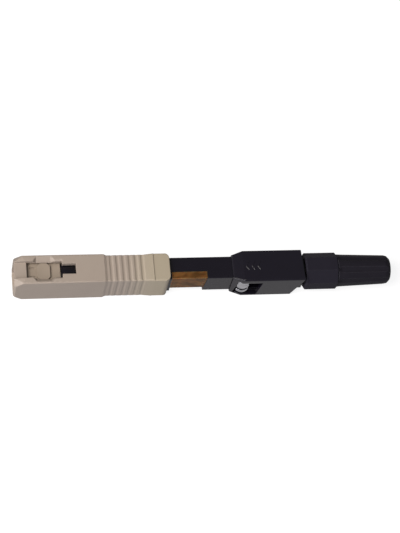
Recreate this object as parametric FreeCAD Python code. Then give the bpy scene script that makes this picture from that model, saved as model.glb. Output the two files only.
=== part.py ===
import FreeCAD, Part
import math
import os
from FreeCAD import Vector

# Field-installable SC fibre connector, in millimetres.
# X runs along the ferrule's axis from the mating end to the cable end, Y is across the body,
# and Z is up. The origin is on the axis, where the ferrule reaches its full diameter.

# ---- driving dimensions -------------------------------------------------------------------

# ferrule and fibre
FERRULE_RADIUS = 1.25
FERRULE_LENGTH = 10.5
TIP_CHAMFER_LENGTH = 0.35
TIP_LAND_RADIUS = 0.85
TIP_SET_BACK = 0.85
GLUE_GROOVE_LEAD = 0.1
GLUE_GROOVE_DEPTH = 0.2
FIBRE_RADIUS = 0.0625

# flange that carries the ferrule, and its spring
FLANGE_THICKNESS = 1.8
FLANGE_RADIUS = 2.15
FLANGE_NOTCH_WIDTH = 0.8
FLANGE_NOTCH_DEPTH = 0.45
BARREL_RADIUS = 1.5
BARREL_LENGTH = 9.8
BARREL_BORE_RADIUS = 0.5
FERRULE_TRAVEL = 1.0
SPRING_WIRE_RADIUS = 0.16
SPRING_TURNS = 5
SPRING_WIRE_SIDES = 5
SPRING_COIL_GAP = 0.02
SPRING_LENGTH = 6.2

# plug frame
FRAME_WIDTH = 5.5
FRAME_HEIGHT = 6.4
FRAME_EDGE = 0.3
FRAME_SET_BACK = 0.95
FRAME_BORE_RADIUS = 2.2
FRAME_WEB_START = 6.3
FRAME_WEB_THICKNESS = 0.9
FRAME_WEB_HOLE_CLEARANCE = 0.15
FRAME_END = 9.9
FRAME_ARM_THICKNESS = 0.45
FRAME_ARM_LENGTH = 9.0
FRAME_FLOOR_WALL = 0.4
BUMP_SET_BACK = 4.6
BUMP_LENGTH = 3.1
BUMP_WIDTH = 4.4
BUMP_CORNER = 0.8
BUMP_HEIGHT = 0.55
RECESS_SET_BACK = 2.05
RECESS_WIDTH = 4.6
MARK_LENGTH = 1.3
MARK_WIDTH = 0.5
MARK_DEPTH = 0.22
SNAP_WINDOW_LENGTH = 2.2
SNAP_WINDOW_HEIGHT = 2.6
SNAP_LUG_CLEARANCE = 0.1

# sliding outer shell
SHELL_LENGTH = 37.35
SHELL_WIDTH = 7.5
SHELL_DRAFT = 0.1
SHELL_HEIGHT = 9.0
SHELL_EDGE = 0.35
CORNER_STEPS = 4
SHELL_RIM = 0.35
SHELL_FRONT_LENGTH = 21.6
SHELL_STEP_LENGTH = 0.6
GRIP_STEP = 0.25
GRIP_LENGTH = 8.9
RAMP_LENGTH = 2.4
COLLAR_STEP = 0.125
COLLAR_CORNER = 1.3
CREST_DROP = 0.12
GROOVE_COUNT = 6
GROOVE_PITCH = 1.5
GROOVE_WIDTH = 1.0
GROOVE_DEPTH = 0.18
SIDE_GROOVE_DEPTH = 0.1
GROOVE_FIRST = 23.3
SHELL_CLEARANCE = 0.1
SHELL_TRAVEL = 1.8
NOSE_LENGTH = 2.25
NOSE_DROP = 0.3
NOSE_CORNER_WALL = 0.15
CHANNEL_WALL = 0.4
WINDOW_START = 3.0
WINDOW_LENGTH = 8.5
WINDOW_WIDTH = 4.3
SLOT_LENGTH = 3.25
SLOT_WIDTH = 2.7
CAM_START = 4.5
CAM_RUN_IN = 0.8
CAM_LENGTH = 3.5
CAM_RUN_OUT = 0.9
CAM_LEG = 1.1
CAM_SMALL_LEG = 0.35
KEY_START = 1.6
KEY_LENGTH = 8.6
KEY_WIDTH = 2.35
KEY_HEIGHT = 0.7
STOP_TAB_SET_BACK = 1.7
STOP_TAB_LENGTH = 1.4
STOP_TAB_HEIGHT = 0.3

# backbone
COLLAR_GAP = 0.25
COLLAR_CLEARANCE = 0.05
BACK_COLLAR_HEIGHT = 6.0
NECK_GAP = 0.3
NECK_WIDTH = 5.7
NECK_HEIGHT = 6.9
NECK_EDGE = 0.3
NECK_END_GAP = 0.1
SPRING_BORE_CLEARANCE = 0.15
BARREL_CLEARANCE = 0.1
BARREL_END_GAP = 0.4
CHAMBER_RADIUS = 0.9
SIGHT_WINDOW_GAP = 0.45
SIGHT_WINDOW_LENGTH = 8.7
SIGHT_WINDOW_LEAN = 0.5
SIGHT_WINDOW_DEPTH = 1.87
THREAD_RADIUS = 3.0
THREAD_PITCH = 1.0
THREAD_HOLD = 1.6
REAR_BORE_RADIUS = 1.9
SIDE_VOID_WALL = 0.3
SIDE_VOID_PAST_SLOT = 0.9
SIDE_VOID_HEIGHT = 5.4

# fibre splice
SPLICE_LEAD = 0.3
SPLICE_LENGTH = 14.8
SPLICE_WIDTH = 4.3
SPLICE_HEIGHT = 5.2
SPLICE_CLEARANCE = 0.05
SIGHT_BLOCK_CLEARANCE = 0.05
SIGHT_BLOCK_SET_IN = 0.06
SIGHT_BLOCK_BOTTOM = 1.75
SIGHT_BLOCK_CHAMFER = 1.2
CLIP_RADIUS = 1.6
CLIP_WALL = 0.3
CLIP_SLIT = 0.7
CLIP_CLEARANCE = 0.04
CORE_CLEARANCE = 0.01
CLIP_LENGTH = 12.4
CLIP_END_WALL = 1.2
LID_GAP = 0.2
STUB_HOLE_RADIUS = 0.25
STUB_IN_SPLICE = 7.0
GROOVE_HALF_ANGLE = 45.0
GUIDE_LENGTH = 2.8
GUIDE_HOLE_RADIUS = 0.2
GUIDE_CONE_RADIUS = 1.3
GUIDE_CLEARANCE = 0.05

# locking slider
SLIDER_STOP_GAP = 1.2
SLIDER_LENGTH = 17.7
SLIDER_WIDTH = 8.2
SLIDER_HEIGHT = 8.4
SLIDER_DROP = 0.25
SLIDER_EDGE = 0.4
SLIDER_CLEARANCE = 0.08
SLIDER_TRAVEL = 5.0
SLIDER_LIP = 0.25
SLIDER_FLARE_LENGTH = 2.8
SLIDER_REAR_LEAN = 2.7
SLIDER_REAR_SKEW = 0.4
SIDE_SLOT_START = 0.6
SIDE_SLOT_LENGTH = 6.8
SIDE_SLOT_TOP = 2.4
SIDE_SLOT_BOTTOM = 3.7
SIDE_SLOT_LEAN = 0.85
LEAF_THICKNESS = 0.2
LEAF_LENGTH = 2.9
LEAF_TOP = 1.5
LEAF_BOTTOM = 3.4
LEAF_SLIT = 0.3
LEAF_SLIT_DROP = 1.85
LEAF_BOW = 0.75
LEAF_END_GAP = 0.05

# cap nut, jaws and boot
NUT_GAP = 0.35
NUT_SIDES = 8
NUT_ACROSS_FLATS = 8.2
NUT_LENGTH = 8.15
NUT_EDGE = 0.25
NUT_THREAD_CLEARANCE = 0.08
NUT_TURNS = 3
JAW_LENGTH = 4.2
JAW_SEAT_LENGTH = 2.0
JAW_RADIUS = 2.15
JAW_TIP_RADIUS = 1.85
JAW_GRIP_RADIUS = 1.4
JAW_SLIT = 0.4
JAW_CLEARANCE = 0.08
JAW_TEETH = 3
JAW_TOOTH_DEPTH = 0.15
RING_RADIUS = 2.75
RING_LENGTH = 1.2
RING_CLEARANCE = 0.06
BOOT_LENGTH = 13.5
BOOT_RADIUS = 3.98
BOOT_END_RADIUS = 3.55
BOOT_END_ROUND = 1.6
BOOT_ROUND_STEPS = 3
BOOT_ROOT_LENGTH = 1.6
BOOT_ROOT_RADIUS = 2.5
BOOT_BORE_RADIUS = 1.6
FLUTE_COUNT = 8
FLUTE_RADIUS = 1.5
FLUTE_DEPTH = 0.3
FLUTE_SET_BACK = 1.1

# ---- places that follow from them ------------------------------------------------------------

SHELL_FRONT = -TIP_CHAMFER_LENGTH - TIP_SET_BACK
SHELL_REAR = SHELL_FRONT + SHELL_LENGTH
FRAME_FRONT = SHELL_FRONT + FRAME_SET_BACK
BUMP_START = FRAME_FRONT + BUMP_SET_BACK
STOP_TAB_START = FRAME_END + STOP_TAB_SET_BACK
COLLAR_FRONT = FRAME_END + COLLAR_GAP
ARM_END = FRAME_END + FRAME_ARM_LENGTH
NECK_FRONT = ARM_END + NECK_GAP
FLANGE_START = FRAME_WEB_START + FRAME_WEB_THICKNESS
FLANGE_REAR = FLANGE_START + FLANGE_THICKNESS
BARREL_END = FLANGE_REAR + BARREL_LENGTH
SPRING_SEAT = FLANGE_REAR + SPRING_LENGTH
SPRING_RADIUS = (BARREL_RADIUS + FLANGE_RADIUS) / 2
SIGHT_WINDOW_START = SHELL_REAR + SIGHT_WINDOW_GAP
SIGHT_WINDOW_END = SIGHT_WINDOW_START + SIGHT_WINDOW_LENGTH
SPLICE_START = SIGHT_WINDOW_START - SPLICE_LEAD
SPLICE_END = SPLICE_START + SPLICE_LENGTH
STUB_END = SPLICE_START + STUB_IN_SPLICE
SLIDER_START = SIGHT_WINDOW_END + SLIDER_TRAVEL + SLIDER_STOP_GAP
NECK_REAR = SLIDER_START + SLIDER_LENGTH + NECK_END_GAP
THREAD_END = NECK_REAR + THREAD_PITCH * NUT_TURNS + THREAD_HOLD
NUT_START = NECK_REAR + NUT_GAP
NUT_END = NUT_START + NUT_LENGTH
BOOT_END = NUT_END + BOOT_LENGTH
TOP = SHELL_HEIGHT / 2
SHELL_REAR_WIDTH = SHELL_WIDTH - 2 * SHELL_DRAFT
GRIP_WIDTH = SHELL_WIDTH - 2 * GRIP_STEP
GRIP_HEIGHT = SHELL_HEIGHT - 2 * GRIP_STEP
COLLAR_HEIGHT = SHELL_HEIGHT - 2 * COLLAR_STEP
CAVITY_SIDE = FRAME_WIDTH / 2 + SHELL_CLEARANCE
CAVITY_TOP = FRAME_HEIGHT / 2 + SHELL_CLEARANCE
PAST = 1.0

X_AXIS = Vector(1, 0, 0)
Y_AXIS = Vector(0, 1, 0)
Z_AXIS = Vector(0, 0, 1)
ORIGIN = Vector(0, 0, 0)


# ---- shapes used by several pieces -------------------------------------------------------------

def block(x0, x1, y0, y1, z0, z1):
    """A plain block between two corners."""
    return Part.makeBox(x1 - x0, y1 - y0, z1 - z0, Vector(x0, y0, z0))


def centred_block(x0, x1, width, height):
    """A block centred on the axis."""
    return block(x0, x1, -width / 2, width / 2, -height / 2, height / 2)


def rod(radius, x0, x1):
    """A cylinder on the axis."""
    return Part.makeCylinder(radius, x1 - x0, Vector(x0, 0, 0), X_AXIS)


def turned(profile):
    """A closed outline of (x, radius) points, turned about the axis."""
    points = [Vector(x, r, 0) for x, r in profile]
    face = Part.Face(Part.makePolygon(points + points[:1]))
    return face.revolve(ORIGIN, X_AXIS, 360)


def rounded_outline(x, width, height, radius):
    """A rectangle with rounded corners, square to the axis at x."""
    y = width / 2
    z = height / 2
    a = radius * (1 - math.sqrt(0.5))
    corners = [(1, 1), (-1, 1), (-1, -1), (1, -1)]
    edges = []
    for i, (sy, sz) in enumerate(corners):
        side = Vector(x, sy * y, sz * (z - radius))
        flat = Vector(x, sy * (y - radius), sz * z)
        middle = Vector(x, sy * (y - a), sz * (z - a))
        start, end = (side, flat) if i % 2 == 0 else (flat, side)
        edges.append(Part.Arc(start, middle, end).toShape())
    lines = []
    for i in range(len(edges)):
        here = edges[i].valueAt(edges[i].LastParameter)
        there = edges[(i + 1) % len(edges)].valueAt(edges[(i + 1) % len(edges)].FirstParameter)
        lines.append(Part.makeLine(here, there))
    ordered = []
    for arc, line in zip(edges, lines):
        ordered += [arc, line]
    return Part.Wire(ordered)


def bar(x0, x1, width, height, radius):
    """A rounded rectangular bar on the axis."""
    return Part.Face(rounded_outline(x0, width, height, radius)).extrude(Vector(x1 - x0, 0, 0))


def faceted_outline(x, size, radius):
    """The same rounded rectangle, with each corner as a few flats."""
    points = []
    for quarter in range(4):
        for step in range(CORNER_STEPS + 1):
            angle = math.radians(90 * (quarter + step / CORNER_STEPS))
            sy = 1 if quarter in (0, 3) else -1
            sz = 1 if quarter in (0, 1) else -1
            y = sy * (size[0] / 2 - radius) + radius * math.cos(angle)
            z = sz * (size[1] / 2 - radius) + radius * math.sin(angle)
            points.append(Vector(x, y, z))
    return points


def taper(x0, size0, x1, size1, radius):
    """A rounded rectangular bar whose section changes from size0 to size1, with flat sides."""
    return flat_sided([faceted_outline(x0, size0, radius), faceted_outline(x1, size1, radius)])


def side_prism(points, y0, y1):
    """An outline of (x, z) points, carried across from y0 to y1."""
    corners = [Vector(x, y0, z) for x, z in points]
    face = Part.Face(Part.makePolygon(corners + corners[:1]))
    return face.extrude(Vector(0, y1 - y0, 0))


def top_prism(points, z0, z1):
    """An outline of (x, y) points, carried up from z0 to z1."""
    corners = [Vector(x, y, z0) for x, y in points]
    face = Part.Face(Part.makePolygon(corners + corners[:1]))
    return face.extrude(Vector(0, 0, z1 - z0))


def end_prism(points, x0, x1):
    """An outline of (y, z) points, carried along the axis from x0 to x1."""
    corners = [Vector(x0, y, z) for y, z in points]
    face = Part.Face(Part.makePolygon(corners + corners[:1]))
    return face.extrude(Vector(x1 - x0, 0, 0))


def flat_sided(outlines):
    """A solid with flat sides, from like outlines of the same number of corners."""
    faces = []
    for outline in (outlines[0], outlines[-1]):
        faces.append(Part.Face(Part.makePolygon(outline + outline[:1])))
    for first, second in zip(outlines, outlines[1:]):
        for i in range(len(first)):
            j = (i + 1) % len(first)
            quad = [first[i], first[j], second[j], second[i], first[i]]
            faces.append(Part.Face(Part.makePolygon(quad)))
    solid = Part.makeSolid(Part.makeShell(faces))
    if solid.Volume < 0:
        solid.reverse()
    return solid


def upside_down(shape):
    """The same shape turned half round the axis, for what is alike above and below."""
    copy = shape.copy()
    copy.rotate(ORIGIN, X_AXIS, 180)
    return copy


def cut_above_and_below(body, tool):
    """Cut a tool and its half-turned twin."""
    return body.cut([tool, upside_down(tool)])


def save(name, shape):
    """Write one piece as a clean solid."""
    solid = shape.removeSplitter()
    solids = solid.Solids
    if len(solids) == 1:
        solid = solids[0]
    solid.exportStep("parts/" + name + ".step")


# ---- ferrule group ------------------------------------------------------------------------------

def make_ferrule():
    """Ground ceramic rod with a chamfered tip, a glue groove and the fibre's hole."""
    tip = -TIP_CHAMFER_LENGTH
    rear = tip + FERRULE_LENGTH
    groove_end = FLANGE_START
    groove_start = FRAME_WEB_START - GLUE_GROOVE_LEAD
    neck = FERRULE_RADIUS - GLUE_GROOVE_DEPTH
    return turned([
        (tip, FIBRE_RADIUS),
        (tip, TIP_LAND_RADIUS),
        (0, FERRULE_RADIUS),
        (groove_start, FERRULE_RADIUS),
        (groove_start, neck),
        (groove_end, neck),
        (groove_end, FERRULE_RADIUS),
        (rear, FERRULE_RADIUS),
        (rear, FIBRE_RADIUS),
    ])


def make_ferrule_flange():
    """Turned metal flange, pressed on the ferrule, with four notches and a rear barrel."""
    ferrule_rear = FERRULE_LENGTH - TIP_CHAMFER_LENGTH
    body = turned([
        (FLANGE_START, FERRULE_RADIUS),
        (FLANGE_START, FLANGE_RADIUS),
        (FLANGE_REAR, FLANGE_RADIUS),
        (FLANGE_REAR, BARREL_RADIUS),
        (BARREL_END, BARREL_RADIUS),
        (BARREL_END, BARREL_BORE_RADIUS),
        (ferrule_rear, BARREL_BORE_RADIUS),
        (ferrule_rear, FERRULE_RADIUS),
    ])
    notches = []
    for quarter in range(4):
        notch = block(
            FLANGE_START - PAST, FLANGE_REAR, -FLANGE_NOTCH_WIDTH / 2, FLANGE_NOTCH_WIDTH / 2,
            FLANGE_RADIUS - FLANGE_NOTCH_DEPTH, FLANGE_RADIUS + PAST,
        )
        notch.rotate(ORIGIN, X_AXIS, 45 + 90 * quarter)
        notches.append(notch)
    return body.cut(notches)


def make_ferrule_spring():
    """Coil spring round the barrel, with a closed turn at each end.

    Each half turn is an arc in a tilted plane, and neighbours meet square to Z. The wire is
    many-sided, to keep the coil light.
    """
    closed = SPRING_WIRE_RADIUS + SPRING_COIL_GAP / 2
    half_turns = 2 * SPRING_TURNS
    spare = SPRING_LENGTH - 2 * SPRING_WIRE_RADIUS - 4 * closed
    open_rise = spare / (half_turns - 4)
    arcs = []
    x = FLANGE_REAR + SPRING_WIRE_RADIUS
    for i in range(half_turns):
        side = 1 if i % 2 == 0 else -1
        rise = closed if i < 2 or i >= half_turns - 2 else open_rise
        start = Vector(x, side * SPRING_RADIUS, 0)
        across = Vector(rise, -2 * side * SPRING_RADIUS, 0)
        wire = polygon_wire(start, SPRING_WIRE_RADIUS, SPRING_WIRE_SIDES)
        arcs.append(Part.Face(wire).revolve(start + across / 2, Z_AXIS.cross(across) * side, 180))
        x += rise
    return arcs[0].fuse(arcs[1:])


def polygon_wire(centre, radius, sides):
    """A many-sided outline square to Z, round a centre."""
    points = []
    for i in range(sides):
        angle = 2 * math.pi * i / sides
        points.append(centre + Vector(radius * math.cos(angle), radius * math.sin(angle), 0))
    return Part.makePolygon(points + points[:1])


def make_fibre_stub():
    """Bare glass fibre, bonded in the ferrule and held half way along the splice."""
    return rod(FIBRE_RADIUS, -TIP_CHAMFER_LENGTH, STUB_END)


# ---- plug frame -----------------------------------------------------------------------------------

def bump_outline(x0, x1, width, corner):
    """An oblong with its four corners cut off."""
    y = width / 2
    return [
        (x0 + corner, -y), (x1 - corner, -y), (x1, -y + corner), (x1, y - corner),
        (x1 - corner, y), (x0 + corner, y), (x0, y - corner), (x0, -y + corner),
    ]


def make_plug_frame():
    """Moulded inner housing: square nose, latch bumps above and below, two rear arms."""
    body = bar(FRAME_FRONT, FRAME_END, FRAME_WIDTH, FRAME_HEIGHT, FRAME_EDGE)
    floor = FRAME_BORE_RADIUS + FRAME_FLOOR_WALL
    recess = block(
        FRAME_FRONT + RECESS_SET_BACK, FRAME_END + PAST,
        -RECESS_WIDTH / 2, RECESS_WIDTH / 2, floor, FRAME_HEIGHT,
    )
    body = cut_above_and_below(body, recess)
    bump = top_prism(
        bump_outline(BUMP_START, BUMP_START + BUMP_LENGTH, BUMP_WIDTH, BUMP_CORNER),
        floor - MARK_DEPTH, floor + BUMP_HEIGHT,
    )
    body = body.fuse([bump, upside_down(bump)])
    marks = []
    for side in (-1, 1):
        middle = side * RECESS_WIDTH / 4
        marks.append(block(
            BUMP_START - MARK_LENGTH - MARK_WIDTH, BUMP_START - MARK_WIDTH,
            middle - MARK_WIDTH / 2, middle + MARK_WIDTH / 2, floor - MARK_DEPTH, floor + PAST,
        ))
    body = body.cut(marks)
    for side in (-1, 1):
        inner = side * (FRAME_WIDTH / 2 - FRAME_ARM_THICKNESS)
        outer = side * FRAME_WIDTH / 2
        low, high = sorted((inner, outer))
        arm = block(FRAME_END - PAST, ARM_END, low, high, -floor, floor)
        tab_edge = side * (FRAME_WIDTH / 2 + STOP_TAB_HEIGHT)
        low, high = sorted((inner, tab_edge))
        tab = side_prism([
            (STOP_TAB_START, -SNAP_WINDOW_HEIGHT / 2),
            (STOP_TAB_START + STOP_TAB_LENGTH, -SNAP_WINDOW_HEIGHT / 2),
            (STOP_TAB_START + STOP_TAB_LENGTH, SNAP_WINDOW_HEIGHT / 2),
            (STOP_TAB_START, SNAP_WINDOW_HEIGHT / 2),
        ], low, high)
        body = body.fuse([arm, tab])
    body = body.cut(snap_windows())
    bores = [
        rod(FRAME_BORE_RADIUS, FRAME_FRONT - PAST, FRAME_WEB_START),
        rod(FERRULE_RADIUS + FRAME_WEB_HOLE_CLEARANCE, FRAME_WEB_START - PAST, FRAME_END),
        rod(FLANGE_RADIUS + SPRING_BORE_CLEARANCE, FLANGE_START, FRAME_END + PAST),
    ]
    return body.cut(bores)


def snap_windows():
    """Openings in the frame's arms that the backbone's lugs snap into."""
    end = ARM_END - SNAP_WINDOW_LENGTH / 2
    return centred_block(
        end - SNAP_WINDOW_LENGTH, end, FRAME_WIDTH + PAST, SNAP_WINDOW_HEIGHT,
    )


# ---- outer shell ------------------------------------------------------------------------------------

def nose_bevel():
    """Slim wedge across the top of the shell's nose."""
    return side_prism([
        (SHELL_FRONT - PAST, TOP - NOSE_DROP * (1 + PAST / NOSE_LENGTH)),
        (SHELL_FRONT + NOSE_LENGTH, TOP),
        (SHELL_FRONT + NOSE_LENGTH, TOP + PAST),
        (SHELL_FRONT - PAST, TOP + PAST),
    ], -SHELL_WIDTH, SHELL_WIDTH)


def nose_corner(side):
    """Wedge off a corner of the nose: widest at the front, and gone where the nose ends."""
    half = SHELL_WIDTH / 2
    leg = half + TOP - CAVITY_SIDE - CAVITY_TOP - NOSE_CORNER_WALL
    ridge = Vector(SHELL_FRONT + NOSE_LENGTH, side * half, TOP)
    outer = Vector(SHELL_FRONT, side * half, TOP - leg) - ridge
    inner = Vector(SHELL_FRONT, side * (half - leg), TOP) - ridge
    face = Part.Face(Part.makePolygon([ridge, ridge + outer * 2, ridge + inner * 2, ridge]))
    away = outer.cross(inner) * side
    return face.extrude(away.normalize() * 2 * leg)


def cam_pocket():
    """Sloped cut along both rails of the window, deepest beside the latch bump."""
    stations = [
        (CAM_START, SHELL_CLEARANCE / 2),
        (CAM_START + CAM_RUN_IN, CAM_LEG),
        (CAM_START + CAM_RUN_IN + CAM_LENGTH, CAM_LEG),
        (CAM_START + CAM_RUN_IN + CAM_LENGTH + CAM_RUN_OUT, CAM_SMALL_LEG),
        (WINDOW_START + WINDOW_LENGTH, CAM_SMALL_LEG),
    ]
    outlines = []
    for along, leg in stations:
        x = SHELL_FRONT + along
        y = WINDOW_WIDTH / 2
        outlines.append([
            Vector(x, -y, TOP - leg), Vector(x, y, TOP - leg),
            Vector(x, y + leg + PAST, TOP + PAST), Vector(x, -y - leg - PAST, TOP + PAST),
        ])
    return flat_sided(outlines)


def finger_grooves():
    """Rounded grooves across the grip, deep above and below, shallow on the sides."""
    radius = (GROOVE_WIDTH ** 2 / 4 + GROOVE_DEPTH ** 2) / (2 * GROOVE_DEPTH)
    tools = []
    for i in range(GROOVE_COUNT):
        x = SHELL_FRONT + GROOVE_FIRST + i * GROOVE_PITCH
        for side in (-1, 1):
            z = side * (GRIP_HEIGHT / 2 + radius - GROOVE_DEPTH)
            tools.append(Part.makeCylinder(
                radius, 2 * GRIP_WIDTH, Vector(x, -GRIP_WIDTH, z), Y_AXIS,
            ))
            y = side * (GRIP_WIDTH / 2 + radius - SIDE_GROOVE_DEPTH)
            tools.append(Part.makeCylinder(
                radius, 2 * GRIP_HEIGHT, Vector(x, y, -GRIP_HEIGHT), Z_AXIS,
            ))
    return tools


def side_drafts(x0, x1):
    """Slim wedges that narrow the shell's sides from its front to the step."""
    front = SHELL_WIDTH / 2
    rear = SHELL_REAR_WIDTH / 2
    tools = []
    for side in (-1, 1):
        tools.append(top_prism([
            (x0, side * front), (x1, side * rear), (x1, side * (front + PAST)),
            (x0, side * (front + PAST)),
        ], -SHELL_HEIGHT, SHELL_HEIGHT))
    return tools


def shell_blank():
    """The shell's outside: drafted front, narrower grip, ramp and rear collar."""
    x0 = SHELL_FRONT
    x1 = x0 + SHELL_RIM
    x2 = x0 + SHELL_FRONT_LENGTH
    x3 = x2 + SHELL_STEP_LENGTH
    x4 = x3 + GRIP_LENGTH
    x5 = x4 + RAMP_LENGTH
    front = (SHELL_WIDTH, SHELL_HEIGHT)
    rim = (SHELL_WIDTH - 2 * SHELL_RIM, SHELL_HEIGHT - 2 * SHELL_RIM)
    rear = (SHELL_REAR_WIDTH, SHELL_HEIGHT)
    grip = (GRIP_WIDTH, GRIP_HEIGHT)
    crest = (SHELL_REAR_WIDTH, COLLAR_HEIGHT + 2 * CREST_DROP)
    blank = taper(x0, rim, x1, front, SHELL_EDGE)
    blank = blank.fuse([
        bar(x1, x2, SHELL_WIDTH, SHELL_HEIGHT, SHELL_EDGE).cut(side_drafts(x1, x2)),
        taper(x2, rear, x3, grip, SHELL_EDGE),
        bar(x3, x4, GRIP_WIDTH, GRIP_HEIGHT, SHELL_EDGE),
        taper(x4, grip, x5, crest, SHELL_EDGE),
        bar(x5, SHELL_REAR, SHELL_REAR_WIDTH, COLLAR_HEIGHT, SHELL_EDGE),
    ])
    corners = []
    for side in (-1, 1):
        square = top_prism([
            (SHELL_REAR - COLLAR_CORNER, side * (SHELL_REAR_WIDTH / 2 - COLLAR_CORNER)),
            (SHELL_REAR + PAST, side * (SHELL_REAR_WIDTH / 2 - COLLAR_CORNER)),
            (SHELL_REAR + PAST, side * (SHELL_REAR_WIDTH / 2 + PAST)),
            (SHELL_REAR - COLLAR_CORNER, side * (SHELL_REAR_WIDTH / 2 + PAST)),
        ], -SHELL_HEIGHT, SHELL_HEIGHT)
        round_rod = Part.makeCylinder(
            COLLAR_CORNER, 2 * SHELL_HEIGHT,
            Vector(SHELL_REAR - COLLAR_CORNER, side * (SHELL_REAR_WIDTH / 2 - COLLAR_CORNER),
                   -SHELL_HEIGHT), Z_AXIS,
        )
        corners.append(square.cut(round_rod))
    return blank.cut(corners)


def make_outer_shell():
    """Moulded coupling sleeve that slides on the plug frame."""
    body = shell_blank()
    channel = block(
        SHELL_FRONT - PAST, SHELL_FRONT + WINDOW_START + PAST,
        -WINDOW_WIDTH / 2, WINDOW_WIDTH / 2, CAVITY_TOP + CHANNEL_WALL, TOP + PAST,
    )
    window_end = SHELL_FRONT + WINDOW_START + WINDOW_LENGTH
    window = block(
        SHELL_FRONT + WINDOW_START, window_end, -WINDOW_WIDTH / 2, WINDOW_WIDTH / 2, 0, TOP + PAST,
    )
    slot = block(
        window_end - PAST, window_end + SLOT_LENGTH, -SLOT_WIDTH / 2, SLOT_WIDTH / 2, 0, TOP + PAST,
    )
    corners = [nose_corner(1), nose_corner(-1)]
    for tool in [nose_bevel(), channel, window, slot, cam_pocket()] + corners:
        body = cut_above_and_below(body, tool)
    body = body.cut(finger_grooves())
    key = block(
        SHELL_FRONT + KEY_START, SHELL_FRONT + KEY_START + KEY_LENGTH,
        SHELL_REAR_WIDTH / 2 - SHELL_CLEARANCE, SHELL_WIDTH / 2 + KEY_HEIGHT,
        -KEY_WIDTH / 2, KEY_WIDTH / 2,
    )
    body = body.fuse(key)
    shoulder = NECK_FRONT - SHELL_TRAVEL - NECK_GAP
    cavity = bar(
        SHELL_FRONT - PAST, shoulder + PAST, 2 * CAVITY_SIDE, 2 * CAVITY_TOP,
        FRAME_EDGE + SHELL_CLEARANCE,
    )
    rear_cavity = bar(
        shoulder, SHELL_REAR + PAST,
        NECK_WIDTH + 2 * SHELL_CLEARANCE, NECK_HEIGHT + 2 * SHELL_CLEARANCE, NECK_EDGE,
    )
    tab_run = centred_block(
        STOP_TAB_START - SHELL_TRAVEL - SHELL_CLEARANCE,
        STOP_TAB_START + STOP_TAB_LENGTH + SHELL_CLEARANCE,
        FRAME_WIDTH + 2 * STOP_TAB_HEIGHT + 2 * SHELL_CLEARANCE,
        SNAP_WINDOW_HEIGHT + 2 * SHELL_CLEARANCE,
    )
    return body.cut([cavity, rear_cavity, tab_run])


# ---- backbone --------------------------------------------------------------------------------------

def sight_window(gap):
    """Side window over the splice, whose rear end leans; gap makes what fits inside it."""
    x0 = SIGHT_WINDOW_START + gap
    x1 = SIGHT_WINDOW_END - gap
    half = NECK_HEIGHT / 2
    lean = SIGHT_WINDOW_LEAN / NECK_HEIGHT
    return side_prism([
        (x0, -half - PAST),
        (x1 - SIGHT_WINDOW_LEAN - lean * PAST, -half - PAST),
        (x1 + lean * PAST, half + PAST),
        (x0, half + PAST),
    ], -NECK_WIDTH, -NECK_WIDTH / 2 + SIGHT_WINDOW_DEPTH - gap)


def make_backbone():
    """Black body: front collar in the frame, long neck, threaded rear end with jaw seat."""
    collar_width = FRAME_WIDTH - 2 * FRAME_ARM_THICKNESS - 2 * COLLAR_CLEARANCE
    collar = bar(COLLAR_FRONT, NECK_FRONT + PAST, collar_width, BACK_COLLAR_HEIGHT, FRAME_EDGE)
    neck = bar(NECK_FRONT, NECK_REAR, NECK_WIDTH, NECK_HEIGHT, NECK_EDGE)
    thread = rod(THREAD_RADIUS, NECK_REAR - PAST, THREAD_END)
    lug_end = ARM_END - SNAP_WINDOW_LENGTH / 2 - SNAP_LUG_CLEARANCE
    lug_start = lug_end - SNAP_WINDOW_LENGTH + 2 * SNAP_LUG_CLEARANCE
    lug_edge = FRAME_WIDTH / 2 - SHELL_CLEARANCE
    lug_half = SNAP_WINDOW_HEIGHT / 2 - SNAP_LUG_CLEARANCE
    lugs = top_prism([
        (lug_start, -collar_width / 2), (lug_end - lug_half, -lug_edge), (lug_end, -lug_edge),
        (lug_end, lug_edge), (lug_end - lug_half, lug_edge), (lug_start, collar_width / 2),
    ], -lug_half, lug_half)
    body = collar.fuse([neck, thread, lugs])
    barrel_room = BARREL_END + FERRULE_TRAVEL + BARREL_END_GAP
    jaw_seat = THREAD_END - JAW_SEAT_LENGTH
    bores = [
        rod(FLANGE_RADIUS + SPRING_BORE_CLEARANCE, COLLAR_FRONT - PAST, SPRING_SEAT),
        rod(BARREL_RADIUS + BARREL_CLEARANCE, SPRING_SEAT - PAST, barrel_room),
        rod(CHAMBER_RADIUS, barrel_room - PAST, SPLICE_START + PAST),
        centred_block(
            SPLICE_START, SPLICE_END + GUIDE_LENGTH,
            SPLICE_WIDTH + 2 * SPLICE_CLEARANCE, SPLICE_HEIGHT + 2 * SPLICE_CLEARANCE,
        ),
        rod(REAR_BORE_RADIUS, SPLICE_END, THREAD_END + PAST),
        rod(JAW_RADIUS + JAW_CLEARANCE, jaw_seat, THREAD_END + PAST),
        block(
            SPLICE_END + GUIDE_LENGTH + SIDE_VOID_WALL,
            SLIDER_START + SIDE_SLOT_START + SIDE_SLOT_LENGTH + SIDE_VOID_PAST_SLOT,
            -NECK_WIDTH, 0, -SIDE_VOID_HEIGHT / 2, SIDE_VOID_HEIGHT / 2,
        ),
        sight_window(0),
    ]
    return body.cut(bores)


# ---- splice ------------------------------------------------------------------------------------------

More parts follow.
